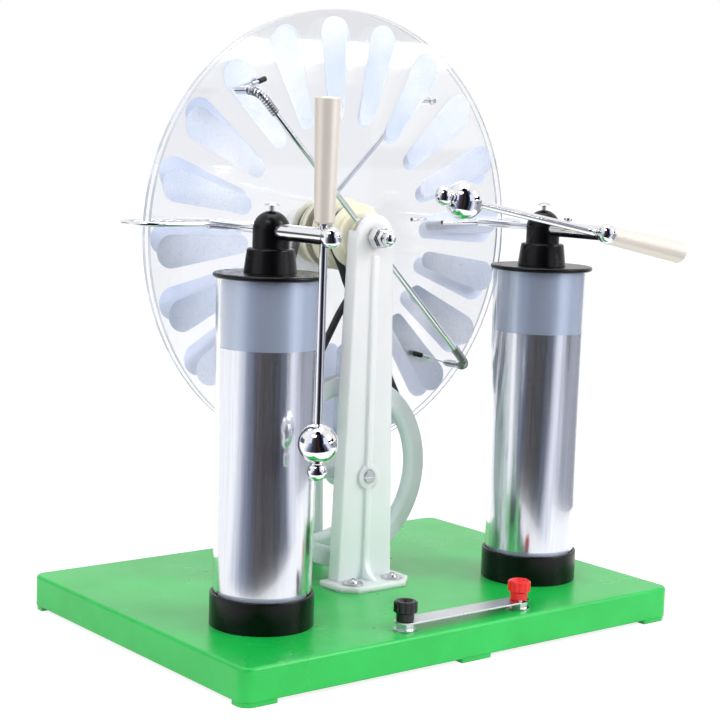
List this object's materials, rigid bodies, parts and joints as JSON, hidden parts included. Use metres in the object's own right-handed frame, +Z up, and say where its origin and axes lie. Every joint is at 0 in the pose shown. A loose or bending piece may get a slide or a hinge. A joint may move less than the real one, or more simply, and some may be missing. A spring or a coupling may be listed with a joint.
{
  "type": "influence machine",
  "caption": "Hand-cranked electrostatic influence machine: contra-turning clear discs, belt drive, neutralising bars, collector forks, capacitor jars and swinging electrodes on a green base.",
  "frame": {"origin": "middle of the base plate, at the level of the table, on the underside of the middle foot pad", "axes": "+X to the right along the front edge, +Y to the back along the disc axle, +Z up"},
  "size_m": [0.3723, 0.2681, 0.409],
  "materials": {
    "green_base": "bright green moulded plastic with a fine satin top",
    "clear_post": "milky translucent moulded plastic",
    "clear_disc": "clear acrylic sheet with a polished edge",
    "clear_tube": "clear acrylic tube",
    "inner_jar": "translucent blue-grey plastic",
    "foil": "bright brushed foil",
    "sector_foil": "pale speckled foil",
    "chrome": "nickel-plated and polished",
    "steel": "zinc-plated steel",
    "spring_steel": "drawn spring wire",
    "link_metal": "stamped sheet strip",
    "brass": "plain brass",
    "cream_plastic": "cream moulded plastic",
    "white_plastic": "white moulded plastic",
    "handle_plastic": "ivory plastic",
    "black_plastic": "black plastic, satin",
    "black_knob": "black plastic",
    "red_knob": "red plastic",
    "belt_rubber": "round rubber cord"
  },
  "bodies": {
    "frame": {"base_plate": "green_base", "front_post": "clear_post", "rear_post": "clear_post", "post_screws": "steel", "post_washers": "steel", "disc_axle": "chrome", "axle_nuts": "chrome", "axle_spacers": "steel", "drive_bushes": "white_plastic", "left_jar_foot": "black_plastic", "right_jar_foot": "black_plastic", "left_jar_tube": "clear_tube", "right_jar_tube": "clear_tube", "outer_foils": "foil", "inner_jars": "inner_jar", "inner_foils": "foil", "contact_rods": "chrome", "left_jar_lid": "black_plastic", "right_jar_lid": "black_plastic", "left_jar_head": "black_plastic", "right_jar_head": "black_plastic", "left_collector": "chrome", "right_collector": "chrome", "collector_points": "chrome", "head_screws": "chrome", "front_belt": "belt_rubber", "rear_belt": "belt_rubber", "terminal_studs": "chrome", "terminal_nuts": "steel", "contact_strips": "brass", "jar_screws": "steel"},
    "front_disc_body": {"front_disc": "clear_disc", "front_sectors": "sector_foil", "front_hub": "cream_plastic", "front_hub_bush": "brass"},
    "rear_disc_body": {"rear_disc": "clear_disc", "rear_sectors": "sector_foil", "rear_hub": "cream_plastic", "rear_hub_bush": "brass"},
    "drive": {"drive_shaft": "steel", "front_drive_wheel": "white_plastic", "rear_drive_wheel": "white_plastic", "crank_arm": "steel", "crank_pin": "steel"},
    "grip": {"crank_grip": "black_plastic"},
    "left_electrode": {"left_electrode_tube": "chrome", "left_electrode_rod": "chrome", "left_electrode_handle": "handle_plastic"},
    "right_electrode": {"right_electrode_tube": "chrome", "right_electrode_rod": "chrome", "right_electrode_handle": "handle_plastic"},
    "front_neutraliser": {"front_neutraliser_bar": "chrome", "front_neutraliser_springs": "spring_steel", "front_brushes": "black_plastic"},
    "rear_neutraliser": {"rear_neutraliser_bar": "chrome", "rear_neutraliser_springs": "spring_steel", "rear_brushes": "black_plastic"},
    "black_terminal_knob": {"black_knob": "black_knob"},
    "red_terminal_knob": {"red_knob": "red_knob"},
    "link": {"link_strip": "link_metal"}
  },
  "joints": [
    {"name": "front_disc_spin", "type": "hinge", "parent": "frame", "child": "front_disc_body", "pos_m": [0, 0.0296, 0.259], "axis": [0, 1, 0], "continuous": true},
    {"name": "rear_disc_spin", "type": "hinge", "parent": "frame", "child": "rear_disc_body", "pos_m": [0, 0.0364, 0.259], "axis": [0, 1, 0], "continuous": true},
    {"name": "crank_turn", "type": "hinge", "parent": "frame", "child": "drive", "pos_m": [0, 0.033, 0.0977], "axis": [0, 1, 0], "continuous": true},
    {"name": "grip_spin", "type": "hinge", "parent": "drive", "child": "grip", "pos_m": [0, 0.1129, 0.0457], "axis": [0, 1, 0], "continuous": true},
    {"name": "left_electrode_swing", "type": "hinge", "parent": "frame", "child": "left_electrode", "pos_m": [-0.1138, -0.0519, 0.267], "axis": [0, 1, 0], "range_deg": [-45, 120]},
    {"name": "right_electrode_swing", "type": "hinge", "parent": "frame", "child": "right_electrode", "pos_m": [0.1138, -0.0519, 0.267], "axis": [0, 1, 0], "range_deg": [-40, 120]},
    {"name": "front_neutraliser_turn", "type": "hinge", "parent": "frame", "child": "front_neutraliser", "pos_m": [0, -0.0043, 0.259], "axis": [0, 1, 0], "range_deg": [-15, 15]},
    {"name": "rear_neutraliser_turn", "type": "hinge", "parent": "frame", "child": "rear_neutraliser", "pos_m": [0, 0.0703, 0.259], "axis": [0, 1, 0], "range_deg": [-15, 15]},
    {"name": "black_knob_turn", "type": "hinge", "parent": "frame", "child": "black_terminal_knob", "pos_m": [-0.048, -0.1126, 0.0355], "axis": [0, 0, 1], "range_deg": [0, 720]},
    {"name": "red_knob_turn", "type": "hinge", "parent": "frame", "child": "red_terminal_knob", "pos_m": [0.048, -0.1126, 0.0355], "axis": [0, 0, 1], "range_deg": [0, 720]},
    {"name": "link_swing", "type": "hinge", "parent": "frame", "child": "link", "pos_m": [-0.048, -0.1126, 0.029], "axis": [0, 0, 1], "range_deg": [0, 40]}
  ],
  "couplings": [
    {"joint": "rear_disc_spin", "follows": "front_disc_spin", "ratio": -1},
    {"joint": "crank_turn", "follows": "front_disc_spin", "ratio": -0.29032}
  ]
}
